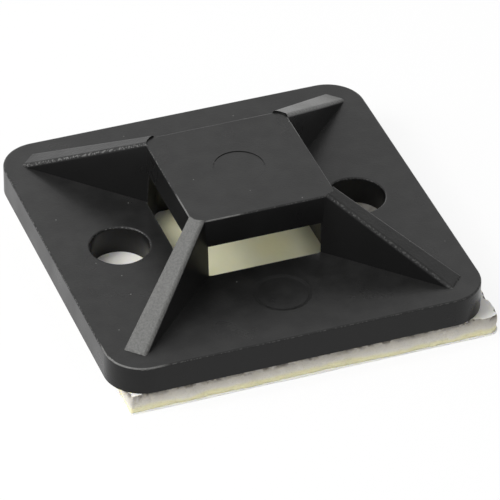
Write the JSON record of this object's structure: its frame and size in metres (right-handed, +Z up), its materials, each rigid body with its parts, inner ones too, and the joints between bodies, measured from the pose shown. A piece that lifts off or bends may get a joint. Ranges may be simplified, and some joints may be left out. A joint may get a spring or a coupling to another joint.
{
  "type": "cable tie mount",
  "caption": "Square self-adhesive cable tie mount: black nylon base with a raised deck on diagonal ribs, a tie passage each way, screw holes and a foam pad.",
  "frame": {"origin": "on the surface that the mount lies on, under the middle of the moulded base", "axes": "+Z up out of that surface through the deck; X through both screw holes; -Y towards the plain front side"},
  "size_m": [0.0287, 0.0281, 0.0087],
  "materials": {
    "black_nylon": "moulded black nylon, fine satin surface",
    "white_foam": "soft white closed-cell foam tape, die-cut, matt",
    "liner_paper": "thin siliconised release paper, slightly glossy"
  },
  "bodies": {
    "root": {"mount_body": "black_nylon", "foam_pad": "white_foam", "release_liner": "liner_paper"}
  },
  "joints": []
}
